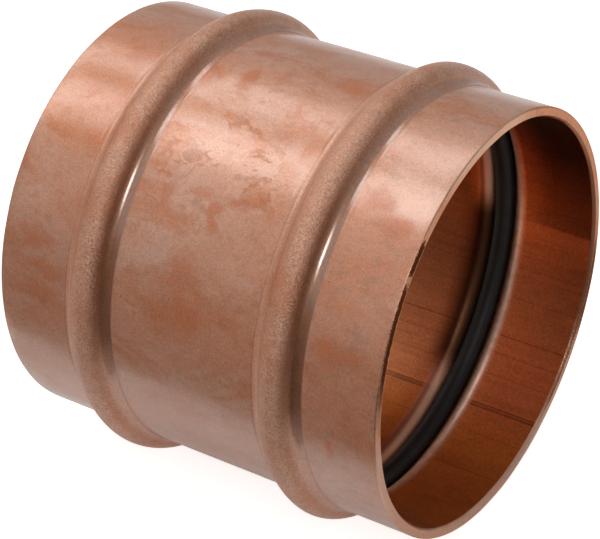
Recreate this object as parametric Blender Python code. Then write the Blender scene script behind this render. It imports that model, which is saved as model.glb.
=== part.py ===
"""Press coupling for large copper water tube.

One drawn copper body with two rolled beads, and an elastomer O-ring held
in the groove inside each bead. The bore axis is X, Z is up, and the origin
is the middle of the coupling on its axis. Left is -x and right is +x.
Metres throughout.
"""

import math

import bmesh
import bpy
from mathutils import Matrix, Vector

# ---------------------------------------------------------------- dimensions

TUBE_RADIUS = 0.10478 / 2  # outside of the 4 in copper tube that slides into each end
SOCKET_CLEARANCE = 0.00026  # radial play between that tube and the bore
WALL = 0.00265  # wall of the coupling body
LENGTH = 0.1105  # end to end
BEAD_OFFSET = 0.0278  # each bead's middle, from the coupling's middle

BORE_RADIUS = TUBE_RADIUS + SOCKET_CLEARANCE
BODY_RADIUS = BORE_RADIUS + WALL

# Outside of a bead: a round crown that runs into the body through a concave
# fillet on each side.
BEAD_HEIGHT = 0.0042  # crown above the body's outside
BEAD_HALF_WIDTH = 0.0069  # middle to where the fillet meets the body
CROWN_RADIUS = 0.0046

# O-ring and the groove that holds it: a round seat with a rounded lip on
# each side.
RING_SECTION_RADIUS = 0.00533 / 2  # standard 0.210 in cross-section
RING_SQUEEZE = 0.00064  # how far the ring stands inside the tube's surface
RING_CENTRE_RADIUS = TUBE_RADIUS - RING_SQUEEZE + RING_SECTION_RADIUS
SEAT_GAP = 0.00032  # free space between ring and seat
SEAT_RADIUS = RING_SECTION_RADIUS + SEAT_GAP
GROOVE_HALF_WIDTH = 0.0071  # middle to where a lip meets the bore

# Ends of the body.
OUTER_EDGE_RADIUS = 0.0004
INNER_CHAMFER_RADIAL = 0.0005
INNER_CHAMFER_AXIAL = 0.0008

# Facets.
AROUND = 64  # steps around the axis
RING_SIDES = 12  # corners of the O-ring's cross-section
CROWN_STEPS = 6
FILLET_STEPS = 3
SEAT_STEPS = 6
LIP_STEPS = 3
EDGE_STEPS = 2
SHARP_ANGLE = math.radians(35)  # edges that turn more than this shade sharp

# ------------------------------------------------------------------ profiles
# A profile is a list of (x, r) points: x along the axis, r from the axis.


def arc(centre_x, centre_r, radius, start, end, steps):
    """Points on a circle from start to end degrees, both ends included."""
    points = []
    for i in range(steps + 1):
        angle = math.radians(start + (end - start) * i / steps)
        x = centre_x + radius * math.cos(angle)
        r = centre_r + radius * math.sin(angle)
        points.append((x, r))
    return points


def bead_outline(middle):
    """Outside of one bead, from left to right."""
    # Distance between the crown's and a fillet's centre, so that they touch.
    reach = (BEAD_HALF_WIDTH**2 + BEAD_HEIGHT**2) / (2 * BEAD_HEIGHT)
    fillet = reach - CROWN_RADIUS
    fillet_r = BODY_RADIUS + fillet
    crown_r = BODY_RADIUS + BEAD_HEIGHT - CROWN_RADIUS
    # Angle of the line between the two centres, where the arcs meet.
    slope = math.degrees(math.atan2(fillet_r - crown_r, BEAD_HALF_WIDTH))

    left_x = middle - BEAD_HALF_WIDTH
    right_x = middle + BEAD_HALF_WIDTH
    left = arc(left_x, fillet_r, fillet, -90, -slope, FILLET_STEPS)
    crown = arc(middle, crown_r, CROWN_RADIUS, 180 - slope, slope, CROWN_STEPS)
    right = arc(right_x, fillet_r, fillet, 180 + slope, 270, FILLET_STEPS)
    # The fillets already hold the crown's two end points.
    return left + crown[1:-1] + right


def groove_outline(middle):
    """Inside of one bead, from right to left."""
    # The lip's radius makes it touch both the seat and the bore.
    depth = RING_CENTRE_RADIUS - BORE_RADIUS
    lip = (GROOVE_HALF_WIDTH**2 + depth**2 - SEAT_RADIUS**2) / (2 * (SEAT_RADIUS + depth))
    lip_r = BORE_RADIUS + lip
    slope = math.degrees(math.atan2(lip_r - RING_CENTRE_RADIUS, GROOVE_HALF_WIDTH))

    right_x = middle + GROOVE_HALF_WIDTH
    left_x = middle - GROOVE_HALF_WIDTH
    right = arc(right_x, lip_r, lip, 270, 180 + slope, LIP_STEPS)
    seat = arc(middle, RING_CENTRE_RADIUS, SEAT_RADIUS, slope, 180 - slope, SEAT_STEPS)
    left = arc(left_x, lip_r, lip, -slope, -90, LIP_STEPS)
    # The lips already hold the seat's two end points.
    return right + seat[1:-1] + left


def body_profile():
    """Closed outline of the copper wall: outside to the right, then inside back."""
    end = LENGTH / 2
    edge = OUTER_EDGE_RADIUS
    edge_x = end - edge
    edge_r = BODY_RADIUS - edge
    chamfer_x = end - INNER_CHAMFER_AXIAL
    chamfer_r = BORE_RADIUS + INNER_CHAMFER_RADIAL
    return [
        *arc(-edge_x, edge_r, edge, 180, 90, EDGE_STEPS),
        *bead_outline(-BEAD_OFFSET),
        *bead_outline(BEAD_OFFSET),
        *arc(edge_x, edge_r, edge, 90, 0, EDGE_STEPS),
        (end, chamfer_r),
        (chamfer_x, BORE_RADIUS),
        *groove_outline(BEAD_OFFSET),
        *groove_outline(-BEAD_OFFSET),
        (-chamfer_x, BORE_RADIUS),
        (-end, chamfer_r),
    ]


def ring_profile(middle):
    """Cross-section of an O-ring, with a corner at its innermost point."""
    points = arc(middle, RING_CENTRE_RADIUS, RING_SECTION_RADIUS, -90, 270, RING_SIDES)
    return points[:-1]  # the last point repeats the first


# ----------------------------------------------------------------- materials


def material(name, colour, roughness, metallic):
    made = bpy.data.materials.new(name)
    made.use_nodes = True
    shader = made.node_tree.nodes["Principled BSDF"]
    shader.inputs["Base Color"].default_value = (*colour, 1.0)
    shader.inputs["Roughness"].default_value = roughness
    shader.inputs["Metallic"].default_value = metallic
    made.diffuse_color = (*colour, 1.0)
    return made


def drawn_copper():
    return material("drawn_copper", colour=(0.72, 0.40, 0.29), roughness=0.34, metallic=1.0)


def seal_rubber(side):
    """Near-black rubber, a separate material for each ring."""
    return material(
        f"seal_rubber_{side}", colour=(0.018, 0.018, 0.019), roughness=0.42, metallic=0.0
    )


# -------------------------------------------------------------------- solids


def turned(name, profile, finish):
    """Object made by turning a closed profile once around the X axis."""
    bm = bmesh.new()
    corners = [bm.verts.new((x, 0.0, r)) for x, r in profile]
    edges = [
        bm.edges.new((corners[i], corners[(i + 1) % len(corners)]))
        for i in range(len(corners))
    ]
    # Half a step first, so that a flat facet lies at the bottom of each bead.
    half_step = Matrix.Rotation(math.pi / AROUND, 3, "X")
    bmesh.ops.rotate(bm, verts=corners, cent=(0, 0, 0), matrix=half_step)
    bmesh.ops.spin(
        bm,
        geom=corners + edges,
        cent=Vector((0, 0, 0)),
        axis=Vector((1, 0, 0)),
        angle=2 * math.pi,
        steps=AROUND,
        use_merge=True,  # joins the last step to the first
    )
    bmesh.ops.recalc_face_normals(bm, faces=bm.faces)

    mesh = bpy.data.meshes.new(name)
    bm.to_mesh(mesh)
    bm.free()
    mesh.shade_smooth()
    mesh.set_sharp_from_angle(angle=SHARP_ANGLE)
    mesh.materials.append(finish)

    made = bpy.data.objects.new(name, mesh)
    bpy.context.scene.collection.objects.link(made)
    return made


def coupling_body():
    return turned("coupling_body", body_profile(), drawn_copper())


def o_ring(side, middle):
    return turned(f"o_ring_{side}", ring_profile(middle), seal_rubber(side))


def main():
    for old in list(bpy.data.objects):
        bpy.data.objects.remove(old, do_unlink=True)

    body = coupling_body()
    for side, middle in (("left", -BEAD_OFFSET), ("right", BEAD_OFFSET)):
        o_ring(side, middle).parent = body


main()
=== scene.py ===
"""A short copper press coupling with a rubber O-ring in the groove under each of
its two beads, on a pale studio floor.

The axis is X, with the middle at the origin; +X is the end nearer the camera.
Angles round the axis start at the top (+Z) and grow towards -Y, the camera's
side. Shapes and material coordinates are in millimetres, the scene in metres.
"""
import math

import bpy
import numpy as np
from mathutils import Matrix, Vector


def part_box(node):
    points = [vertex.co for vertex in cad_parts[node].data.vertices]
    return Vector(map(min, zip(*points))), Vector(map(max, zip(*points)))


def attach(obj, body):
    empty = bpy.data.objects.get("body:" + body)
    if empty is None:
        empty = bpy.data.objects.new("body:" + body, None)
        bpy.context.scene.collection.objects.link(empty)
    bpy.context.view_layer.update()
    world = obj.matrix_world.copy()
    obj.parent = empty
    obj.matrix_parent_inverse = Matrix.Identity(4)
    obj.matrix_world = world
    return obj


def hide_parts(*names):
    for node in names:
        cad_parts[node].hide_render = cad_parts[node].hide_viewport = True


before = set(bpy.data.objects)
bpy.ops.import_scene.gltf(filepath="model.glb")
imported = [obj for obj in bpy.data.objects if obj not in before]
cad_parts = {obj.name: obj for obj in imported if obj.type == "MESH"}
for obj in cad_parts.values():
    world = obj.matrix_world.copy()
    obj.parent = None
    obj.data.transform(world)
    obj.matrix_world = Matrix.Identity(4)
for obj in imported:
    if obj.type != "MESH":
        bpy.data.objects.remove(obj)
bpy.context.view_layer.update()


# ------------------------------------------------------------------ dimensions
# STRETCH is 1 for a body of the design length, and scales all the fine meshes.
DESIGN_LENGTH = 0.1105  # metres
body_low, body_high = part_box("coupling_body")
STRETCH = (body_high.x - body_low.x) / DESIGN_LENGTH
ring_low, ring_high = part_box("o_ring_right")

HALF_LENGTH = 55.25
OUTER_R = 55.30
INNER_R = 52.65
EDGE_R = 0.4  # rounding of the outer edges
EDGE_STEPS = 4

BEAD_X = (ring_low.x + ring_high.x) / 2 * 1000 / STRETCH  # over the O-ring's middle
BEAD_HEIGHT = 4.2
BEAD_HALF_WIDTH = 6.9  # to where the fillets meet the tube
BEAD_REACH = 9.4  # half the finely stepped stretch round a bead
CROWN_R = 4.6

SEAT_R = 2.985  # section of the groove the O-ring lies in
SEAT_CENTRE_R = 54.415
LIP_HALF_WIDTH = 7.1  # to where the groove's lips meet the bore

RING_R = 2.665
RING_CENTRE_R = SEAT_CENTRE_R
RING_SIDES = 48
RING_AROUND = 320
BODY_AROUND = 360

# Material slots of the body.
OUTSIDE, CUT, INSIDE = 0, 1, 2

# Marks left where a bead meets the tube: a fine dip with a low ridge beyond it.
# Height, distance from the bead's middle, width.
CREASES = (
    (-0.042, 7.05, 0.28),
    (0.019, 7.70, 0.38),
    (-0.014, 8.45, 0.36),
)


# --------------------------------------------------------------- body profile
# A profile is rows of (x, radius).


def arc(centre_x, centre_r, radius, start, end, steps):
    angle = np.radians(np.linspace(start, end, steps + 1))
    return np.column_stack(
        [centre_x + radius * np.cos(angle), centre_r + radius * np.sin(angle)]
    )


def straight(start, end, radius, step):
    """Points between start and end, without the two ends."""
    count = max(2, int(round(abs(end - start) / step)))
    x = np.linspace(start, end, count + 1)[1:-1]
    return np.column_stack([x, np.full(len(x), radius)])


def bead_outside(middle):
    """A round crown between two fillets, each tangent to the tube."""
    fillet = (BEAD_HALF_WIDTH**2 + BEAD_HEIGHT**2) / (2 * BEAD_HEIGHT) - CROWN_R
    crown_r = OUTER_R + BEAD_HEIGHT - CROWN_R
    fillet_r = OUTER_R + fillet
    slope = math.degrees(math.atan2(fillet_r - crown_r, BEAD_HALF_WIDTH))
    flat = np.arange(BEAD_REACH, BEAD_HALF_WIDTH + 0.07, -0.155)
    flat_r = np.full(len(flat), OUTER_R)
    line = np.vstack([
        np.column_stack([middle - flat, flat_r]),
        arc(middle - BEAD_HALF_WIDTH, fillet_r, fillet, -90, -slope, 11),
        arc(middle, crown_r, CROWN_R, 180 - slope, slope, 20)[1:-1],
        arc(middle + BEAD_HALF_WIDTH, fillet_r, fillet, 180 + slope, 270, 11),
        np.column_stack([middle + flat[::-1], flat_r]),
    ])
    distance = np.abs(line[:, 0] - middle)
    line[:, 1] += sum(
        height * np.exp(-(((distance - at) / width) ** 2)) for height, at, width in CREASES
    )
    return line


def groove_inside(middle):
    """The O-ring's seat between two rounded lips, from +X to -X."""
    depth = SEAT_CENTRE_R - INNER_R
    lip = (LIP_HALF_WIDTH**2 + depth**2 - SEAT_R**2) / (2 * (SEAT_R + depth))
    lip_r = INNER_R + lip
    slope = math.degrees(math.atan2(lip_r - SEAT_CENTRE_R, LIP_HALF_WIDTH))
    return np.vstack([
        arc(middle + LIP_HALF_WIDTH, lip_r, lip, 270, 180 + slope, 9),
        arc(middle, SEAT_CENTRE_R, SEAT_R, slope, 180 - slope, 14)[1:-1],
        arc(middle - LIP_HALF_WIDTH, lip_r, lip, -slope, -90, 9),
    ])


def body_profile():
    """The closed section, outside to +X and inside back to -X, and the material
    slot of each point's outgoing edge."""
    end = HALF_LENGTH
    edge_x, edge_r = end - EDGE_R, OUTER_R - EDGE_R
    flat_end = BEAD_X + BEAD_REACH
    lip_out, lip_in = BEAD_X + LIP_HALF_WIDTH, BEAD_X - LIP_HALF_WIDTH
    # The flat cut and the chamfer into the bore.
    cut = np.array([
        (end, 54.3), (end, 53.7),
        (end, INNER_R + 0.5), (end - 0.25, INNER_R + 0.30),
        (end - 0.55, INNER_R + 0.13), (end - 0.8, INNER_R),
    ])
    bore_start = np.array([(end - 0.84, INNER_R), (end - 1.0, INNER_R)])
    mirror = (-1, 1)
    pieces = [
        (CUT, arc(-edge_x, edge_r, EDGE_R, 180, 90, EDGE_STEPS)),
        (OUTSIDE, straight(-edge_x, -flat_end, OUTER_R, 3.0)),
        (OUTSIDE, bead_outside(-BEAD_X)),
        (OUTSIDE, straight(-BEAD_X + BEAD_REACH, BEAD_X - BEAD_REACH, OUTER_R, 3.0)),
        (OUTSIDE, bead_outside(BEAD_X)),
        (OUTSIDE, straight(flat_end, edge_x, OUTER_R, 3.0)),
        (CUT, arc(edge_x, edge_r, EDGE_R, 90, 0, EDGE_STEPS)),
        (CUT, cut),
        (INSIDE, bore_start),
        (INSIDE, straight(end - 1.0, lip_out, INNER_R, 5.0)),
        (INSIDE, groove_inside(BEAD_X)),
        (INSIDE, straight(lip_in, -lip_in, INNER_R, 6.0)),
        (INSIDE, groove_inside(-BEAD_X)),
        (INSIDE, straight(-lip_out, -end + 1.0, INNER_R, 5.0)),
        (INSIDE, bore_start[::-1] * mirror),
        (CUT, cut[::-1] * mirror),
    ]
    points = np.vstack([line for _, line in pieces])
    slots = np.concatenate([np.full(len(line), slot) for slot, line in pieces])
    # The edges that leave the first rounding and the first chamfer are not cut.
    slots[EDGE_STEPS] = OUTSIDE
    slots[np.argmax(slots == INSIDE) - 1] = INSIDE
    return points, slots


# ----------------------------------------------------------------- unevenness


def waves(x, theta, seed, count, max_turns, max_along, rms):
    """Smooth unevenness that closes round the axis: a sum of gentle waves."""
    rng = np.random.default_rng(seed)
    total = np.zeros(np.broadcast(x, theta).shape)
    for _ in range(count):
        turns = rng.integers(1, max_turns + 1)
        along = rng.uniform(-max_along, max_along)
        total += np.cos(turns * theta + along * x + rng.uniform(0, 2 * math.pi))
    return total * rms / math.sqrt(count / 2)


def ring_noise(theta, seed, low_turns, high_turns, count):
    rng = np.random.default_rng(seed)
    total = np.zeros_like(theta)
    for _ in range(count):
        total += np.cos(
            rng.integers(low_turns, high_turns) * theta + rng.uniform(0, 2 * math.pi)
        )
    return total / math.sqrt(count / 2)


def smoothstep(start, end, value):
    share = np.clip((value - start) / (end - start), 0, 1)
    return share * share * (3 - 2 * share)


def sector(theta, centre, half, soft):
    """1 within half degrees of centre, with soft ends."""
    off = np.abs((np.degrees(theta) - centre + 180) % 360 - 180)
    return smoothstep(half + soft, half - soft, off)


# --------------------------------------------------------------------- meshes


def angles_round(count):
    return np.linspace(0, 2 * math.pi, count, endpoint=False)[None, :]


def lathe(name, x, radius, theta, slots=None, flip=False):
    """Mesh from a grid of (profile point, angle), closed in both directions."""
    rows, columns = x.shape
    places = np.empty((rows, columns, 3))
    places[..., 0] = x
    places[..., 1] = -radius * np.sin(theta)
    places[..., 2] = radius * np.cos(theta)
    places = places.reshape(-1, 3) * 0.001 * STRETCH
    row = np.arange(rows)[:, None]
    column = np.arange(columns)[None, :]
    next_row = (row + 1) % rows
    next_column = (column + 1) % columns
    here = row * columns + column
    ahead = next_row * columns + column
    across = next_row * columns + next_column
    beside = row * columns + next_column
    corners = [here, ahead, across, beside] if flip else [here, beside, across, ahead]
    quads = np.stack(corners, -1).reshape(-1, 4)
    mesh = bpy.data.meshes.new(name)
    mesh.vertices.add(len(places))
    mesh.vertices.foreach_set("co", places.ravel())
    mesh.loops.add(quads.size)
    mesh.loops.foreach_set("vertex_index", quads.ravel().astype(np.int32))
    mesh.polygons.add(len(quads))
    mesh.polygons.foreach_set("loop_start", np.arange(0, quads.size, 4, dtype=np.int32))
    if slots is not None:
        mesh.polygons.foreach_set("material_index", np.repeat(slots, columns).astype(np.int32))
    mesh.update(calc_edges=True)
    mesh.validate()
    mesh.shade_smooth()
    obj = bpy.data.objects.new(name, mesh)
    bpy.context.scene.collection.objects.link(obj)
    return obj


def end_unevenness(x, radius, theta, index, side):
    """Shifts in x and radius at one cut end: a slightly wavy cut, an uneven
    inner chamfer and burrs on it."""
    round_end = theta[0]
    end = smoothstep(HALF_LENGTH - 1.2, HALF_LENGTH - 0.1, x * side)
    wavy = 0.05 * np.cos(2 * round_end + 1.3 + index) + 0.02 * ring_noise(
        round_end, seed=30 + index, low_turns=3, high_turns=30, count=20
    )
    chamfer = (
        smoothstep(0.75, 0.05, radius - INNER_R)
        * smoothstep(HALF_LENGTH - 1.3, HALF_LENGTH - 0.75, x * side)
        * (radius < INNER_R + 0.6)
    )
    uneven = 0.022 * ring_noise(
        round_end, seed=40 + index, low_turns=4, high_turns=40, count=26
    )
    teeth = ring_noise(round_end, seed=50 + index, low_turns=40, high_turns=150, count=30)
    burr = np.maximum(0, teeth) * (
        0.075 * sector(round_end, centre=58, half=20, soft=8)
        + 0.085 * sector(round_end, centre=234, half=9, soft=4)
        + 0.008
    )
    return side * end * wavy[None, :], chamfer * (uneven - burr)[None, :]


def build_body():
    points, slots = body_profile()
    theta = angles_round(BODY_AROUND)
    line_x, line_r = points[:, :1], points[:, 1:]
    outside = (slots[:, None] == OUTSIDE) * 1.0

    # The tube is very slightly oval and rippled along its length.
    ripple = waves(line_x, theta, seed=11, count=26, max_turns=9, max_along=0.16, rms=0.016)
    radius = line_r + ripple * (0.35 + 0.65 * outside)
    radius = radius + 0.05 * np.cos(2 * theta + 0.9)
    fine = waves(line_x, theta, seed=12, count=30, max_turns=26, max_along=0.35, rms=0.0035)
    radius = radius + fine * outside
    # Bead crowns rise and fall a little round the turn.
    for index, middle in enumerate((-BEAD_X, BEAD_X)):
        near = np.exp(-(((line_x - middle) / 3.4) ** 2)) * (line_r > OUTER_R - 0.2)
        radius = radius + near * waves(
            line_x * 0, theta, seed=20 + index, count=16, max_turns=14, max_along=0.0, rms=0.035
        )
    x = line_x
    for index, side in enumerate((-1, 1)):
        shift_x, shift_r = end_unevenness(line_x, line_r, theta, index, side)
        x = x + shift_x
        radius = radius + shift_r
    obj = lathe("coupling_body_copper", x, radius, theta, slots)
    obj.data.set_sharp_from_angle(angle=math.radians(38))
    return obj


def build_ring(name, middle, seed):
    angle = np.radians(np.linspace(-90, 270, RING_SIDES, endpoint=False))
    # A hair of moulded parting line runs along the inner middle.
    from_inner = np.degrees(np.angle(np.exp(1j * (angle + math.pi / 2))))
    section_r = RING_R + 0.014 * np.exp(-((from_inner / 4.0) ** 2))
    theta = angles_round(RING_AROUND)
    line_x = (middle + section_r * np.cos(angle))[:, None]
    line_r = (RING_CENTRE_R + section_r * np.sin(angle))[:, None]
    # The ring sits a little unevenly in its groove.
    still = line_x * 0
    x = line_x + waves(still, theta, seed, count=8, max_turns=5, max_along=0.0, rms=0.035)
    radius = line_r + waves(
        still, theta, seed + 1, count=8, max_turns=6, max_along=0.0, rms=0.03
    )
    return lathe(name, x, radius, theta, flip=True)


# ----------------------------------------------------------------- node tools


def add_node(tree, kind, inputs=None, output=0, **settings):
    """Add a node, fill or link its inputs and return one output as a Field."""
    node = tree.nodes.new(kind)
    for key, value in settings.items():
        setattr(node, key, value)
    for key, value in (inputs or {}).items():
        socket = node.inputs[key]
        if isinstance(value, Field):
            tree.links.new(value.socket, socket)
        elif value is not None:
            if socket.type == "RGBA" and len(value) == 3:
                value = (*value, 1.0)
            socket.default_value = value
    return Field(tree, node, output)


class Field:
    """A node's output. Arithmetic and methods on it add further nodes."""

    def __init__(self, tree, node, output=0):
        self.tree = tree
        self.node = node
        self.socket = node.outputs[output]

    def out(self, output):
        """Another output of the same node."""
        return Field(self.tree, self.node, output)

    def binary(self, operation, first, second=None):
        inputs = {0: first, 1: second}
        return add_node(self.tree, "ShaderNodeMath", inputs, operation=operation)

    def math(self, operation, other=None):
        return self.binary(operation, self, other)

    def __add__(self, other):
        return self.math("ADD", other)

    def __radd__(self, other):
        return self.binary("ADD", other, self)

    def __sub__(self, other):
        return self.math("SUBTRACT", other)

    def __rsub__(self, other):
        return self.binary("SUBTRACT", other, self)

    def __mul__(self, other):
        return self.math("MULTIPLY", other)

    def __truediv__(self, other):
        return self.math("DIVIDE", other)

    def __abs__(self):
        return self.math("ABSOLUTE")

    def at_least(self, other):
        return self.math("MAXIMUM", other)

    def at_most(self, other):
        return self.math("MINIMUM", other)

    def swing(self, amount):
        """Turn a noise round 0.5 into one round 0, scaled by amount."""
        return (self - 0.5) * amount

    def ramp(self, start, end, low=0.0, high=1.0):
        """Go smoothly from low to high between start and end, in either order."""
        if start > end:
            start, end, low, high = end, start, high, low
        inputs = {
            "Value": self, "From Min": start, "From Max": end, "To Min": low, "To Max": high
        }
        return add_node(
            self.tree, "ShaderNodeMapRange", inputs, "Result",
            interpolation_type="SMOOTHSTEP", clamp=True,
        )

    def line(self, at, width):
        """1 at the value at, falling to 0 at width from it."""
        return abs(self - at).ramp(width, 0.0)

    def between(self, low, high):
        """Low where this is 0, high where it is 1."""
        inputs = {0: self, 2: low, 3: high}
        return add_node(self.tree, "ShaderNodeMix", inputs, data_type="FLOAT")

    def split(self):
        parts = add_node(self.tree, "ShaderNodeSeparateXYZ", {0: self})
        return [parts.out(index) for index in range(3)]

    def vector(self, operation, inputs, output=0):
        inputs = {0: self, **inputs}
        return add_node(
            self.tree, "ShaderNodeVectorMath", inputs, output, operation=operation
        )

    def moved(self, shift):
        return self.vector("ADD", {1: shift})

    def times(self, factors):
        return self.vector("MULTIPLY", {1: factors})

    def bright(self, by):
        return self.vector("SCALE", {"Scale": by})

    def toward(self, tint, share):
        """This colour, mixed with a share of tint."""
        return mix(share, self, tint)

    def bump(self, distance, strength, normal=None):
        inputs = {"Distance": distance, "Strength": strength, "Height": self, "Normal": normal}
        return add_node(self.tree, "ShaderNodeBump", inputs)


def mix(share, first, second):
    inputs = {0: share, 6: first, 7: second}
    return add_node(share.tree, "ShaderNodeMix", inputs, 2, data_type="RGBA")


def noise(point, scale, detail=2.0, rough=0.5, distort=0.0, shift=None, factors=None,
          output="Fac", dimensions="3D"):
    """Noise at point, after it is moved by shift and multiplied by factors."""
    if shift is not None:
        point = point.moved(shift)
    if factors is not None:
        point = point.times(factors)
    inputs = {
        "W" if dimensions == "1D" else "Vector": point,
        "Scale": scale, "Detail": detail, "Roughness": rough, "Distortion": distort,
    }
    return add_node(
        point.tree, "ShaderNodeTexNoise", inputs, output, noise_dimensions=dimensions
    )


def cells(point, scale, shift=None):
    """Distance to the nearest of many scattered points."""
    if shift is not None:
        point = point.moved(shift)
    inputs = {"Vector": point, "Scale": scale}
    return add_node(point.tree, "ShaderNodeTexVoronoi", inputs, "Distance")


def highest(fields):
    out = fields[0]
    for field in fields[1:]:
        out = out.at_least(field)
    return out


def degrees_round(y, z):
    return (y * -1.0).math("ARCTAN2", z) * (180.0 / math.pi)


def axis_distance(y, z):
    return (y * y + z * z).math("SQRT")


def oval(x, turn, at_x, at_turn, half_x, half_turn):
    """Distance from an oval's middle, 1 on its outline."""
    across = (x - at_x) / half_x
    around = (turn - at_turn) / half_turn
    return axis_distance(across, around)


def soft_disc(distance, soft):
    return distance.ramp(1.0 + soft, 1.0 - soft)


class Shader:
    """A new material or world with only an output node."""

    def __init__(self, name, world=False):
        blocks = bpy.data.worlds if world else bpy.data.materials
        self.block = blocks.new(name)
        self.block.use_nodes = True
        self.tree = self.block.node_tree
        self.tree.nodes.clear()
        kind = "ShaderNodeOutputWorld" if world else "ShaderNodeOutputMaterial"
        self.end = self.tree.nodes.new(kind)

    def add(self, kind, inputs=None, output=0, **settings):
        return add_node(self.tree, kind, inputs, output, **settings)

    def value(self, name, number):
        field = self.add("ShaderNodeValue", name=name)
        field.socket.default_value = number
        return field

    def where(self, kind="Object"):
        return self.add("ShaderNodeTexCoord", output=kind)

    def millimetres(self):
        return self.where().times((1000.0, 1000.0, 1000.0))

    def finish(self, surface):
        self.tree.links.new(surface.socket, self.end.inputs["Surface"])
        return self.block

    def principled(self, **inputs):
        inputs = {key.replace("_", " "): value for key, value in inputs.items()}
        return self.finish(self.add("ShaderNodeBsdfPrincipled", inputs))


# ------------------------------------------------------------ copper, outside
PINK = (0.900, 0.480, 0.330)
TAN = (0.850, 0.375, 0.215)
ORANGE = (0.800, 0.265, 0.100)
BROWN = (0.480, 0.180, 0.080)
PALE_HIGHLIGHT = (1.0, 0.600, 0.450)
FLOOR_REFLECTION_GREY = (0.760, 0.540, 0.450)
WARM_BROWN = (0.820, 0.310, 0.150)
FAR_BROWN = (0.720, 0.270, 0.120)
STAIN = (0.740, 0.225, 0.080)
WASHED = (0.950, 0.560, 0.420)
UNWASHED = (0.800, 0.320, 0.150)
WATER_LINE = (0.520, 0.185, 0.075)
DROP = (0.620, 0.300, 0.195)
DROP_LIP = (0.960, 0.660, 0.520)
DIRT = (0.240, 0.110, 0.065)
CHIP = (1.0, 0.78, 0.64)
CROWN_DARK = (0.790, 0.310, 0.160)
CROWN_LIGHT = (1.0, 0.560, 0.370)
CROWN_HIGHLIGHT = (1.0, 0.640, 0.470)
CROWN_PIT = (0.620, 0.220, 0.105)
FLANK_SHADE = (0.400, 0.170, 0.088)
CREASE_SHADE = (0.420, 0.190, 0.110)

# Marks left by drops and hands: middle in mm along and degrees round, then the
# half sizes in the same units.
MARKS = (
    (15.8, 3.5, 3.6, 3.2), (-18.5, 12.5, 3.0, 3.6), (-9.3, 11.5, 3.0, 3.2),
    (-3.0, 68.0, 5.2, 5.0), (-2.0, 78.0, 7.5, 6.0), (42.0, 101.0, 1.5, 3.2),
    (-46.0, 71.0, 5.6, 2.6), (-41.0, 78.0, 4.2, 2.0), (-41.0, 15.0, 3.2, 2.6),
    (48.0, 39.0, 4.6, 3.6), (41.0, 35.0, 4.0, 3.0), (44.0, 74.0, 8.0, 3.4),
    (-11.0, 48.5, 1.6, 3.8), (-14.0, 44.0, 4.6, 1.4), (2.5, 51.0, 1.8, 4.4),
    (8.5, 45.5, 6.5, 1.5), (-1.5, 46.0, 2.4, 1.6), (6.0, 27.5, 5.0, 2.0),
    (1.0, 168.0, 7.0, 5.0), (-40.0, -60.0, 6.0, 4.0), (14.0, -75.0, 5.0, 7.0),
    (38.0, -140.0, 5.0, 6.0), (-8.0, -120.0, 8.0, 4.0),
)
# Middle of the stretch where most water dried, in mm along and degrees round.
WET_X, WET_TURN = -1.0, 35.0


def water_lines(colour, point, x, turn, mottle, grain, speckle):
    """Outlines of dried water: thin wandering lines with pits along them.
    Returns the colour and the mask of the lines."""
    lines = noise(point, scale=0.070, detail=4.0, rough=0.52, distort=0.5,
                  shift=(5.0, 40.0, 9.0), factors=(0.70, 1.0, 1.0))
    faint_lines = noise(point, scale=0.055, detail=4.0, rough=0.52, distort=0.4,
                        shift=(55.0, 4.0, 19.0), factors=(0.70, 1.0, 1.0))
    width = mottle.ramp(0.35, 0.66, low=0.006, high=0.030)
    strong, faint = [
        ((field - level) / width).line(0.0, 1.0)
        for field, level in ((lines, 0.50), (faint_lines, 0.48))
    ]
    outline = strong.at_least(faint * 0.7)
    wet = abs(turn - WET_TURN).ramp(15.0, 8.0) * abs(x - WET_X).ramp(20.5, 16.0)
    patches = noise(point, scale=0.045, shift=(1.0, 2.0, 60.0))
    elsewhere = patches.ramp(0.56, 0.66) * 0.55
    washed = lines.ramp(0.480, 0.520) * wet
    colour = colour.toward(WASHED, washed * 0.42)
    colour = colour.toward(UNWASHED, (1.0 - lines.ramp(0.44, 0.51)) * wet * 0.25)
    outline = outline * wet.at_least(elsewhere)
    breaks = noise(point, scale=0.30, shift=(71.0, 3.0, 2.0))
    outline = outline * breaks.ramp(0.38, 0.56)
    pits = cells(point, scale=0.85, shift=(2.0, 5.0, 6.0)).ramp(0.30, 0.12)
    pits = pits * lines.line(0.50, 0.045).ramp(0.25, 0.8)
    pits = pits * (wet * speckle.ramp(0.42, 0.60))
    drawn = outline.at_least(pits * 0.8)
    colour = colour.toward(WATER_LINE, drawn * grain.ramp(0.30, 0.60, low=0.25, high=0.80))
    return colour, drawn


def dirt_and_chips(colour, point):
    """Dark specks and bright chips. Returns the colour and the specks' mask."""
    specks = cells(point, scale=0.22, shift=(9.0, 9.0, 9.0)).ramp(0.066, 0.030)
    some = noise(point, scale=0.16, detail=0.0, shift=(4.0, 14.0, 24.0))
    specks = specks * some.ramp(0.50, 0.58)
    colour = colour.toward(DIRT, specks * 0.70)
    chips = cells(point, scale=0.15, shift=(19.0, 2.0, 5.0)).ramp(0.044, 0.020)
    some = noise(point, scale=0.13, detail=0.0, shift=(44.0, 4.0, 4.0))
    return colour.toward(CHIP, chips * some.ramp(0.54, 0.60) * 0.8), specks


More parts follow.
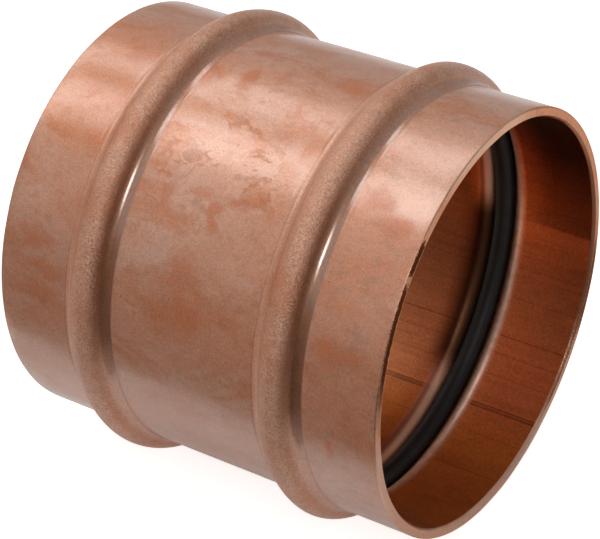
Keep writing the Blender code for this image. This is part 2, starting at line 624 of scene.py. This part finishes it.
def bead_colour(peel, side, bloom):
    """Grainy copper of the bead crowns, with a painted highlight just to +X of the middle."""
    worked = mix(peel.ramp(0.30, 0.72), CROWN_DARK, CROWN_LIGHT)
    # A painted highlight along the crown's +X side: bright grains, with darker pits among them.
    band = side.ramp(-1.2, 0.6) * side.ramp(4.4, 3.0)
    worked = worked.toward(CROWN_HIGHLIGHT, band * peel.ramp(0.50, 0.64))
    worked = worked.toward(CROWN_PIT, band * peel.ramp(0.48, 0.36) * 0.6)
    return worked.toward(ORANGE, bloom.ramp(0.46, 0.66) * 0.45)


def copper_outside():
    shader = Shader("copper_drawn_outside")
    point = shader.millimetres()
    x, y, z = point.split()
    turn = degrees_round(y, z)

    # Masks of the beads' parts: off is the distance from the nearer bead's
    # middle, side the same with its sign along X.
    off = abs(abs(x) - BEAD_X)
    side = x.math("SIGN") * (abs(x) - BEAD_X)
    bead = off.ramp(7.3, 6.5)
    crown = off.ramp(4.6, 3.2)
    fillet = off.ramp(3.7, 4.7) * off.ramp(7.4, 6.8)
    crease_shade = off.line(7.02, 0.34)
    polished = fillet * side.ramp(0.0, 1.0)
    # Painted shade on the +X flank of each bead, strongest between about 48 and 90 degrees
    # round.
    flank_shade = side.ramp(1.7, 4.4) * side.ramp(7.3, 6.9)
    flank_shade = flank_shade * (
        turn.ramp(20.0, 48.0, low=0.40, high=1.0) * turn.ramp(102.0, 90.0, low=0.40, high=1.0)
    )
    near_end = x.ramp(34.0, 37.0)

    # Warped coordinates, for stains that wander.
    warp = noise(point, scale=0.10, detail=4.0, rough=0.60, output="Color")
    warp = warp.moved((-0.5, -0.5, -0.5))
    warped_x, warped_y, warped_z = point.moved(warp.times((13.0, 9.0, 9.0))).split()
    warped_turn = degrees_round(warped_y, warped_z)

    # Tarnish in long soft clouds, orange bloom with ragged edges, a mottle, and
    # the streaks and grain of drawn tube.
    clouds = noise(point, scale=0.055, detail=5.0, rough=0.58, distort=0.4,
                   factors=(0.60, 1.0, 1.0))
    bloom = noise(point, scale=0.085, detail=7.0, rough=0.68, distort=0.5,
                  shift=(31.0, 7.0, 3.0), factors=(0.55, 1.0, 1.0))
    mottle = noise(point, scale=0.33, detail=5.0, rough=0.66, distort=0.2,
                   shift=(3.0, 77.0, 13.0), factors=(0.75, 1.0, 1.0))
    streak = noise(point, scale=0.70, detail=3.0, rough=0.6, factors=(0.045, 1.0, 1.0))
    grain = noise(point, scale=1.55, detail=3.0, rough=0.75)
    speckle = noise(point, scale=3.1, detail=1.0, shift=(7.0, 3.0, 1.0))
    colour = mix(clouds.ramp(0.36, 0.62), PINK, TAN)
    colour = colour.toward(ORANGE, bloom.ramp(0.45, 0.66) * 0.90)
    colour = colour.toward(BROWN, mottle.ramp(0.48, 0.74) * 0.55)
    colour = colour.toward(BROWN, streak.ramp(0.54, 0.80) * 0.16)

    # Painted highlight: the +X end is paler in a patch on its upper camera side.
    pale = soft_disc(oval(warped_x, warped_turn, 47.5, 29.0, 10.5, 9.5), soft=0.45)
    colour = colour.toward(PALE_HIGHLIGHT, pale * 0.75)

    # Painted reflection of the pale floor: the lower half is tinted a thin grey.
    low_half = (abs(turn) + clouds.swing(14.0)).ramp(90.0, 104.0)
    colour = colour.toward(FLOOR_REFLECTION_GREY, low_half * 0.42)

    # The camera side of the +X end is a warmer brown.
    warm = near_end * (warped_turn.ramp(38.0, 54.0) * warped_turn.ramp(108.0, 92.0))
    colour = colour.toward(WARM_BROWN, warm * 0.50)

    # The -X end is a little darker and warmer.
    colour = colour.toward(FAR_BROWN, x.ramp(-33.0, -37.0) * 0.26)

    marks = highest([soft_disc(oval(warped_x, warped_turn, *mark), soft=0.55) for mark in MARKS])
    marks = marks * mottle.ramp(0.30, 0.60, low=0.45, high=1.0)
    colour = colour.toward(STAIN, marks * 0.88)

    colour, drawn = water_lines(colour, point, x, turn, mottle, grain, speckle)

    # One dried drop, brownish, with a paler lip on its lower side.
    from_drop = oval(x + mottle.swing(4.2), turn + bloom.swing(9.0), -9.8, 38.4, 2.5, 1.9)
    drop = soft_disc(from_drop, soft=0.20)
    colour = colour.toward(DROP, drop * 0.62)
    lip = from_drop.line(1.22, 0.20) * warped_turn.ramp(37.5, 40.0)
    colour = colour.toward(DROP_LIP, lip * 0.55)

    colour, specks = dirt_and_chips(colour, point)

    # The beads are the most worked: grainy on the crown, polished below, with painted shade on
    # each bead's +X flank.
    peel = noise(point, scale=2.1, detail=3.0, rough=0.70)
    colour = colour.toward(bead_colour(peel, side, bloom), bead * 0.82)
    colour = colour.toward(FLANK_SHADE, flank_shade * 0.88)
    # Painted shade along the crease where each bead's fillet meets the tube.
    colour = colour.toward(CREASE_SHADE, crease_shade * 0.40)
    colour = colour.bright(
        0.98
        + grain.swing(near_end.between(0.62, 0.66))
        + speckle.swing(near_end.between(0.60, 0.64))
        + mottle.swing(near_end.between(0.40, 0.80))
    )

    # A dull film over bare metal; the +X flanks of the beads are nearly bare.
    metal = 0.52 + (0.5 - clouds) * 0.35 + marks * -0.12
    on_crown = 0.48 - turn.ramp(62.0, 78.0) * turn.ramp(104.0, 92.0) * 0.20
    metal = bead.between(metal, side.ramp(1.5, 3.6).between(on_crown, 0.95))
    rough = 0.42 + clouds.swing(0.16) + mottle.swing(0.14) + grain.swing(0.10) + marks * 0.05
    rough = bead.between(rough, 0.40 + peel.swing(0.16))
    rough = (fillet * 0.95).between(rough, polished.between(0.46, 0.44) + grain.swing(0.10))
    rough = rough.at_least(0.1).at_most(0.8)

    # The clear coat stands for the smooth skin; it thins over grain and marks.
    coat = crown.between(1.0, 0.58)
    coat = coat * mottle.ramp(0.30, 0.72, low=1.0, high=0.70)
    coat = coat * grain.ramp(0.22, 0.72, low=near_end.between(0.66, 0.84), high=1.0)
    coat = coat * (1.0 - flank_shade * side.ramp(5.1, 4.4) * 0.75)
    lit_grains = side.ramp(0.0, 1.6) * side.ramp(4.2, 2.8) * (peel.ramp(0.46, 0.62) * bead)
    coat = (coat + lit_grains * 0.75).at_most(1.0)
    coat = coat * (1.0 - drawn * 0.50)
    coat = coat * (1.0 - drop * 0.30)
    greasy = turn.ramp(59.0, 68.0) * turn.ramp(97.0, 90.0)
    coat = coat * (1.0 - polished * greasy * 0.80)
    coat_rough = 0.105 + clouds.swing(0.10) + mottle.swing(0.12) + grain.swing(0.06)
    coat_rough = coat_rough + near_end * 0.075
    coat_rough = crown.between(coat_rough, 0.21)
    coat_rough = fillet.between(coat_rough, polished.between(0.28, 0.15))
    coat_ior = polished.between(crown.between(1.9, 2.0), 2.8)

    peel_bump = (peel * bead).bump(0.00036, off.ramp(5.0, 3.4, low=0.03, high=0.80))
    height = (
        mottle.swing(0.26) + streak.swing(0.16) + grain.swing(0.26) + speckle.swing(0.12)
        + specks * -0.25 + drawn * 0.03
    )
    height = height * ((1.0 - bead * 0.6) * (1.0 - fillet * 0.9))
    normal = height.bump(0.00012, 0.60, peel_bump)
    return shader.principled(
        Base_Color=colour, Metallic=metal, Roughness=rough, Normal=normal,
        Coat_Weight=coat, Coat_Roughness=coat_rough, Coat_IOR=coat_ior, Coat_Normal=normal,
    )


# ------------------------------------------------------------- copper, inside
BORE_LIGHT = (0.830, 0.380, 0.190)
BORE_DEEP = (0.780, 0.315, 0.140)
BORE_STREAK = (0.520, 0.200, 0.085)
BORE_MOTTLE = (0.540, 0.205, 0.085)
BORE_BOTTOM = (1.0, 0.345, 0.075)
SCORE = (0.170, 0.055, 0.028)
FILM = (0.070, 0.026, 0.012)
LIP_HIGHLIGHT = (1.0, 0.710, 0.590)
LIP_HIGHLIGHT_DEEP = (0.880, 0.560, 0.440)
FAR_LIP_HIGHLIGHT = (0.800, 0.500, 0.390)
SEAL_SHADOW_DARK = (0.060, 0.025, 0.014)

# Die lines, narrow dark scores along the bore: degrees round, width, strength.
SCORES = (
    (-150.1, 0.40, 1.0), (-149.0, 0.36, 0.95), (-149.6, 1.0, 0.55), (-127.6, 0.34, 0.65),
    (-133.0, 0.5, 0.30), (-139.5, 0.5, 0.30), (-116.0, 0.40, 0.30), (-158.5, 0.4, 0.30),
    (-109.0, 0.35, 0.30), (-172.0, 0.35, 0.4), (-88.0, 0.35, 0.4), (-62.0, 0.4, 0.40),
    (-20.0, 0.4, 0.4), (33.0, 0.35, 0.4), (71.0, 0.4, 0.5), (118.0, 0.35, 0.4),
    (150.0, 0.4, 0.5),
)


def die_lines(point, turn, groove):
    wander = noise(point, scale=0.08, factors=(0.3, 0.1, 0.1)).swing(0.5)
    at = turn + wander
    scores = highest([at.line(middle, width) * share for middle, width, share in SCORES])
    breaks = noise(point, scale=0.30, detail=3.0, factors=(1.0, 0.2, 0.2))
    scores = scores * breaks.ramp(0.22, 0.46, low=0.45, high=1.0)
    return scores * (1.0 - groove)


def copper_inside():
    shader = Shader("copper_drawn_inside")
    point = shader.millimetres()
    x, y, z = point.split()
    turn = degrees_round(y, z)
    groove = axis_distance(y, z).ramp(INNER_R + 0.10, INNER_R + 0.9)
    clouds = noise(point, scale=0.06, detail=5.0, rough=0.60, distort=0.3,
                   factors=(0.35, 1.0, 1.0))
    mottle = noise(point, scale=0.40, detail=5.0, rough=0.65, distort=0.2,
                   shift=(3.0, 7.0, 13.0), factors=(0.5, 1.0, 1.0))
    streak = noise(point, scale=0.50, detail=4.0, rough=0.64, factors=(0.012, 1.0, 1.0))
    fine = noise(point, scale=2.2, detail=3.0, rough=0.65, factors=(0.02, 1.0, 1.0))
    grain = noise(point, scale=1.7, detail=3.0, rough=0.72)
    colour = mix(clouds.ramp(0.35, 0.65), BORE_LIGHT, BORE_DEEP)
    colour = colour.toward(BORE_STREAK, streak.ramp(0.48, 0.72) * 0.35)
    colour = colour.toward(BORE_MOTTLE, mottle.ramp(0.50, 0.72) * 0.35)
    bottom = abs(turn).ramp(143.0, 164.0)
    colour = colour.toward(BORE_BOTTOM, bottom * 0.90)
    scores = die_lines(point, turn, groove)
    colour = colour.toward(SCORE, scores * 0.80)

    # The +Y side of the +X end kept its dark annealing film, with a straight
    # lower edge.
    edge = turn + streak.swing(0.8)
    film = edge.ramp(-92.3, -91.3) * edge.ramp(-8.0, -30.0)
    film = film * edge.ramp(-92.0, -58.0, low=0.60, high=0.95)
    film = film * (x + mottle.swing(8.0)).ramp(32.0, 45.0, low=0.30, high=1.0)
    film = film * x.ramp(28.0, 34.0)
    colour = colour.toward(FILM, film * grain.ramp(0.2, 0.8, low=1.0, high=0.88))
    colour = colour.bright(0.98 + grain.swing(1.15) + fine.swing(0.22) + mottle.swing(0.26))

    # Painted shade: beyond the +X seal the +Y side is darker towards the top.
    far_shade = x.ramp(24.0, 16.0) * edge.ramp(-160.0, -80.0, low=0.0, high=0.62)
    far_shade = far_shade * edge.ramp(-20.0, -50.0)
    colour = colour.bright(1.0 - far_shade)
    # Painted shade on the +Y side of the bore near the +X mouth.
    mouth_shade = x.ramp(38.0, 54.0) * (turn.ramp(-146.0, -122.0) * turn.ramp(-20.0, -60.0))
    colour = colour.bright(1.0 - mouth_shade * 0.24)

    # Painted highlights make the +X groove's lips pale, and painted shadow of the seal darkens
    # its wall on the seal's inner side.
    lip = mix(mottle.ramp(0.35, 0.65), LIP_HIGHLIGHT, LIP_HIGHLIGHT_DEEP).bright(0.97 + grain.swing(0.40))
    near_lip_highlight = x.ramp(BEAD_X + 7.9, BEAD_X + 6.5) * x.ramp(BEAD_X + 2.6, BEAD_X + 4.8)
    colour = colour.toward(lip, near_lip_highlight * 0.85)
    # Painted shadow of the seal on the groove wall beyond it: full within a stretch of the turn,
    # and at the seal's foot all round.
    seal_shadow = x.ramp(BEAD_X - 12.5, BEAD_X - 6.2) * x.ramp(BEAD_X + 1.0, BEAD_X - 1.0)
    seal_shadow_sector = turn.ramp(-148.0, -136.0) * turn.ramp(-84.0, -95.0)
    far_lip_highlight = x.ramp(BEAD_X - 8.0, BEAD_X - 6.6) * x.ramp(BEAD_X - 2.8, BEAD_X - 4.2)
    far_lip_highlight = far_lip_highlight * (1.0 - seal_shadow_sector)
    colour = colour.toward(FAR_LIP_HIGHLIGHT, far_lip_highlight * 0.75)
    seal_shadow = seal_shadow * seal_shadow_sector.at_least(x.ramp(BEAD_X - 4.2, BEAD_X - 2.8) * 0.8)
    colour = colour.toward(SEAL_SHADOW_DARK, seal_shadow * 0.95)

    rough = 0.36 + clouds.swing(0.14) + fine.swing(0.12) + mottle.swing(0.12)
    rough = groove.between(rough, 0.52)
    rough = rough + bottom * x.ramp(30.0, 36.0) * 0.08
    metal = (groove * (1.0 - seal_shadow)).between(1.0, 0.75)
    height = (
        streak.swing(0.45) + fine.swing(0.16) + grain.swing(0.14) + scores * -0.20
        + mottle.swing(0.12)
    )
    normal = height.bump(distance=0.00012, strength=0.50)
    return shader.principled(
        Base_Color=colour, Metallic=metal, Roughness=rough, Normal=normal
    )


# ----------------------------------------------------------- copper, cut ends
CUT_LIGHT = (0.900, 0.490, 0.340)
CUT_DEEP = (0.800, 0.400, 0.255)
CUT_PATCH = (0.700, 0.300, 0.155)
CUT_HIGHLIGHT = (1.0, 0.645, 0.465)
CUT_BELOW = (1.0, 0.660, 0.520)
DARK_REFLECTION = (0.085, 0.030, 0.014)
BURR_HIGHLIGHT = (1.0, 0.640, 0.470)
EDGE_SHADE = (0.220, 0.085, 0.042)
GLINT = (1.0, 0.82, 0.70)
NICK = (0.300, 0.125, 0.070)


def painted_dark_reflection(turn, radius, ragged, grain):
    """Painted dark reflection on two stretches of the +X cut, with ragged edges."""
    at = turn + ragged.swing(7.0)
    dark_reflection = at.ramp(40.0, 42.0) * at.ramp(95.0, 74.0)
    dark_reflection = dark_reflection * (1.0 - at.line(51.3, 1.6) * 0.9)  # a bright gap
    band = radius + ragged.swing(1.1)
    dark_reflection = dark_reflection * (
        band.ramp(53.15, 53.40) * (radius + grain.swing(1.1)).ramp(55.22, 54.98)
    )
    second = at.ramp(-124.0, -114.0) * at.ramp(-86.0, -98.0) * 0.80
    second = second * band.ramp(53.1, 53.5)
    return dark_reflection.at_least(second)


def copper_cut():
    shader = Shader("copper_cut_end")
    point = shader.millimetres()
    x, y, z = point.split()
    radius = axis_distance(y, z)
    turn = degrees_round(y, z)
    near_end = x.ramp(50.0, 54.0)

    # Tool marks run round the cut and drift across its width.
    drift = noise(point, scale=0.5, factors=(1.0, 0.22, 0.22))
    rings = noise(radius + drift * 1.4, scale=5.5, detail=3.0, rough=0.6, dimensions="1D")
    grain = noise(point, scale=2.2, detail=3.0, rough=0.72)
    patch = noise(point, scale=0.20, detail=4.0, rough=0.60)
    colour = mix(rings.ramp(0.35, 0.65), CUT_LIGHT, CUT_DEEP)
    colour = colour.toward(CUT_PATCH, patch.ramp(0.46, 0.64) * 0.40)

    # The top has a painted highlight, and the lower part is pale.
    cut_highlight = abs(turn - 6.0).ramp(26.0, 10.0) * near_end
    colour = colour.toward(CUT_HIGHLIGHT, cut_highlight * 0.90)
    below = abs(turn + 18.0).ramp(106.0, 122.0) * near_end
    colour = colour.toward(CUT_BELOW, below * 0.80)

    ragged = noise(point, scale=0.75, detail=4.0, rough=0.70)
    # Painted dark reflection on the +X cut face.
    dark_reflection = painted_dark_reflection(turn, radius, ragged, grain) * near_end
    colour = colour.toward(DARK_REFLECTION, dark_reflection * 0.97)

    # Painted highlight on the turned inner edge on the camera side; on the +Y side that edge has
    # painted shade, with painted glints near -126 degrees.
    burr = radius.ramp(53.15, 52.95) * near_end * (
        turn.ramp(-30.0, 10.0) * turn.ramp(150.0, 100.0)
    )
    glint = grain.ramp(0.50, 0.68) * (near_end * turn.line(-126.0, 9.0))
    colour = colour.toward(BURR_HIGHLIGHT, burr * 0.85)
    edge_shade = radius.ramp(53.35, 53.10) * (
        turn.ramp(-150.0, -138.0) * turn.ramp(-40.0, -70.0)
    )
    colour = colour.toward(EDGE_SHADE, edge_shade * near_end * 0.85)
    colour = colour.toward(GLINT, glint)
    nicks = cells(point, scale=0.70).ramp(0.20, 0.08)
    nicks = nicks * noise(point, scale=0.12, detail=1.0).ramp(0.50, 0.58)
    colour = colour.toward(NICK, nicks * 0.55)
    colour = colour.bright(0.97 + grain.swing(0.45))

    rough = 0.40 + grain.swing(0.22) + rings.swing(0.10) + glint * -0.2 + burr * -0.1
    height = rings.swing(0.5) + grain.swing(0.40) + nicks * -0.6
    return shader.principled(
        Base_Color=colour, Metallic=1.0, Roughness=rough,
        Normal=height.bump(distance=0.00014, strength=0.7),
        Specular_Tint=(0.62, 0.36, 0.25),
    )


# --------------------------------------------------------------------- rubber
RUBBER_DARK = (0.0065, 0.0066, 0.0070)
RUBBER_LIGHT = (0.0135, 0.0137, 0.0142)
DUST = (0.08, 0.075, 0.068)


def seal_rubber():
    shader = Shader("seal_rubber_satin")
    point = shader.millimetres()
    skin = noise(point, scale=1.5, detail=4.0, rough=0.68)
    bloom = noise(point, scale=0.20, detail=4.0, rough=0.6, distort=0.4,
                  factors=(1.0, 0.6, 0.6))
    dust = cells(point, scale=0.75).ramp(0.16, 0.06)
    some = noise(point, scale=0.3, detail=1.0, shift=(8.0, 1.0, 2.0))
    dust = dust * some.ramp(0.56, 0.68)
    colour = mix(bloom.ramp(0.40, 0.70), RUBBER_DARK, RUBBER_LIGHT)
    colour = colour.toward(DUST, dust * 0.35)
    height = skin.swing(0.6) + dust * 0.5
    return shader.principled(
        Base_Color=colour, Metallic=0.0,
        Roughness=0.52 + skin.swing(0.16) + bloom.swing(0.18) + dust * 0.2,
        Normal=height.bump(distance=0.00010, strength=0.6),
        Specular_IOR_Level=0.42,
    )


# --------------------------------------------------------------------- pieces
body = build_body()
for material in (copper_outside(), copper_cut(), copper_inside()):
    body.data.materials.append(material)
rubber = seal_rubber()
ring_left = build_ring("o_ring_left_rubber", -BEAD_X, seed=71)
ring_right = build_ring("o_ring_right_rubber", BEAD_X, seed=81)
for ring in (ring_left, ring_right):
    ring.data.materials.append(rubber)

for piece, node, slot in (
    (body, "coupling_body", "copper"),
    (ring_left, "o_ring_left", "seal_rubber"),
    (ring_right, "o_ring_right", "seal_rubber"),
):
    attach(piece, "root")
    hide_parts(node)

# ---------------------------------------------------------------------- stage
FLOOR_Z = -(OUTER_R + BEAD_HEIGHT) * 0.001 * STRETCH - 0.00008
FLOOR_SIZE = 12.0

# Soft boxes: direction from the object, distance, width, height, direction of
# the width, radiance.
BOXES = {
    "overhead_back": ((-0.474, 0.291, 0.831), 0.75, 0.85, 0.30, (1, 0, 0), 1.84),
    "overhead_front": ((-0.474, -0.194, 0.859), 0.75, 0.85, 0.40, (1, 0, 0), 2.10),
    "camera_side": ((0.462, -0.650, 0.600), 1.05, 0.34, 0.48, (0.833, 0.553, 0), 6.0),
}
# Radiance of the whole room, and what each side adds: its direction, the
# cosines to it where the glow starts and is full, radiance.
ROOM_ALL = 0.135
ROOM = {
    "left": ((-1, 0, 0), 0.25, 0.95, 0.18),
    "right_up": ((0.75, 0.15, 0.62), 0.35, 0.95, 0.06),
    "right_low": ((0.80, -0.30, -0.10), 0.45, 0.95, 0.08),
    "back": ((0, 1, 0), 0.10, 0.95, 0.18),
    "front": ((-0.1, -1, 0.05), 0.45, 0.95, 0.05),
    "top": ((0, 0, 1), 0.55, 1.0, 0.06),
    "front_top": ((-0.3, -0.75, 0.6), 0.75, 1.0, 0.36),
}
BACKGROUND = 0.97  # what the camera sees of the room
# What the copper sees of the floor in front of the object is a dark flag; its
# radiance changes from left to right and beyond the +X end.
FLAG = {"left": 0.25, "right": 0.20, "beyond": 0.10}
FLAG_TINT = (1.0, 0.84, 0.76)
# Radiance the rest of the floor shows in reflections, and to the camera.
FLOOR_GLOW = {"near": 0.15, "far": 0.38}
FLOOR_SEEN = 0.80
FLOOR_DARK, FLOOR_LIGHT = (0.80, 0.80, 0.79), (0.84, 0.84, 0.835)


def floor_material():
    shader = Shader("studio_floor")
    where = shader.where()
    x, y, _ = where.split()
    grain = noise(where, scale=90.0, detail=3.0, rough=0.6)
    cloth = mix(grain, FLOOR_DARK, FLOOR_LIGHT)
    diffuse = shader.add("ShaderNodeBsdfDiffuse", {"Color": cloth})
    path = shader.add("ShaderNodeLightPath")
    camera_ray, glossy_ray = path.out("Is Camera Ray"), path.out("Is Glossy Ray")

    glows = [shader.value("floor_" + name, level) for name, level in FLOOR_GLOW.items()]
    shine = axis_distance(x, y).ramp(0.11, 0.26).between(*glows)
    strength = camera_ray * FLOOR_SEEN + glossy_ray * shine
    glow = shader.add("ShaderNodeEmission", {"Color": (1.0, 1.0, 1.0), "Strength": strength})
    pale = shader.add("ShaderNodeAddShader", {0: diffuse, 1: glow})

    left, right, beyond = [
        shader.value("flag_" + name, level) for name, level in FLAG.items()
    ]
    level = x.ramp(0.06, 0.085).between(x.ramp(-0.10, 0.06).between(left, right), beyond)
    dark = shader.add("ShaderNodeEmission", {"Color": FLAG_TINT, "Strength": level})
    in_front = (y + x * 0.0025).ramp(-0.0815, -0.0825)
    reflected = glossy_ray.at_least(path.out("Is Diffuse Ray"))
    both = shader.add("ShaderNodeMixShader", {0: in_front * reflected, 1: pale, 2: dark})

    # From below the floor is clear, so that the underside can be looked at.
    clear = shader.add("ShaderNodeBsdfTransparent")
    below = camera_ray * shader.add("ShaderNodeNewGeometry", output="Backfacing")
    return shader.finish(shader.add("ShaderNodeMixShader", {0: below, 1: both, 2: clear}))


def plane(name, width, height, material):
    mesh = bpy.data.meshes.new(name)
    x, y = width / 2, height / 2
    mesh.from_pydata([(-x, -y, 0), (x, -y, 0), (x, y, 0), (-x, y, 0)], [], [(0, 1, 2, 3)])
    mesh.materials.append(material)
    obj = bpy.data.objects.new(name, mesh)
    bpy.context.scene.collection.objects.link(obj)
    return obj


def glowing_cloth(name, width, height, radiance):
    """One-sided glow that fades towards its edges, most of all along its height."""
    shader = Shader(name)
    x, y, _ = shader.where().split()
    across = abs(x) / (width / 2)
    along = abs(y) / (height / 2)
    fade = across.ramp(1.0, 0.75) * along.ramp(1.0, 0.30)
    level = shader.value("radiance", radiance) * fade
    front = 1.0 - shader.add("ShaderNodeNewGeometry", output="Backfacing")
    return shader.finish(shader.add("ShaderNodeEmission", {"Strength": level * front}))


def soft_box(name, direction, distance, width, height, width_direction, radiance):
    z = Vector(direction).normalized()
    x = Vector(width_direction)
    x = (x - x.dot(z) * z).normalized()
    card = plane(name, width, height, glowing_cloth(name, width, height, radiance))
    # The card's own +Z is its lit side, and looks back at the object.
    matrix = Matrix((x, -z.cross(x), -z)).transposed().to_4x4()
    matrix.translation = z * distance
    card.matrix_world = matrix
    card.visible_camera = False
    card.visible_shadow = False


def studio_world():
    shader = Shader("studio", world=True)
    where = shader.where("Generated")
    level = shader.value("room_all", ROOM_ALL)
    for name, (side, start, full, radiance) in ROOM.items():
        cosine = where.vector("DOT_PRODUCT", {1: Vector(side).normalized()}, "Value")
        level = level + shader.value("room_" + name, radiance) * cosine.ramp(start, full)
    seen = shader.add("ShaderNodeLightPath", output="Is Camera Ray")
    inputs = {"Color": (1.0, 0.99, 0.975), "Strength": seen.between(level, BACKGROUND)}
    return shader.finish(shader.add("ShaderNodeBackground", inputs))


floor = plane("floor", FLOOR_SIZE, FLOOR_SIZE, floor_material())
floor.location.z = FLOOR_Z
for name, box in BOXES.items():
    soft_box(name, *box)
scene = bpy.context.scene
scene.world = studio_world()

# --------------------------------------------------------------------- camera
# The +X end looks right and down. The camera has no roll, so its three axes
# follow from its heading and its tilt.
RIGHT = Vector((0.83302, 0.55324, 0.0)).normalized()
FORWARD = Vector((-0.47388, 0.71353, -0.51604)).normalized()
DOWN = FORWARD.cross(RIGHT)
# The object's middle seen from the camera: right, down, forward, in outer radii.
OFFSET = (0.0313, -0.0363, 10.5944)

camera_data = bpy.data.cameras.new("camera")
camera_data.sensor_fit = "HORIZONTAL"
camera_data.sensor_width = 36.0
camera_data.lens = 136.9596
camera_data.clip_start = 0.05
camera_data.clip_end = 50.0
camera = bpy.data.objects.new("camera", camera_data)
scene.collection.objects.link(camera)
camera.matrix_world = Matrix((RIGHT, -DOWN, -FORWARD)).transposed().to_4x4()
to_middle = OFFSET[0] * RIGHT + OFFSET[1] * DOWN + OFFSET[2] * FORWARD
camera.location = -to_middle * OUTER_R * 0.001 * STRETCH
scene.camera = camera

scene.view_settings.view_transform = "Standard"
scene.view_settings.look = "None"
scene.view_settings.exposure = 0.0
scene.view_settings.gamma = 1.0
scene.cycles.max_bounces = 14
scene.cycles.glossy_bounces = 12
scene.cycles.diffuse_bounces = 4
scene.cycles.sample_clamp_indirect = 8.0
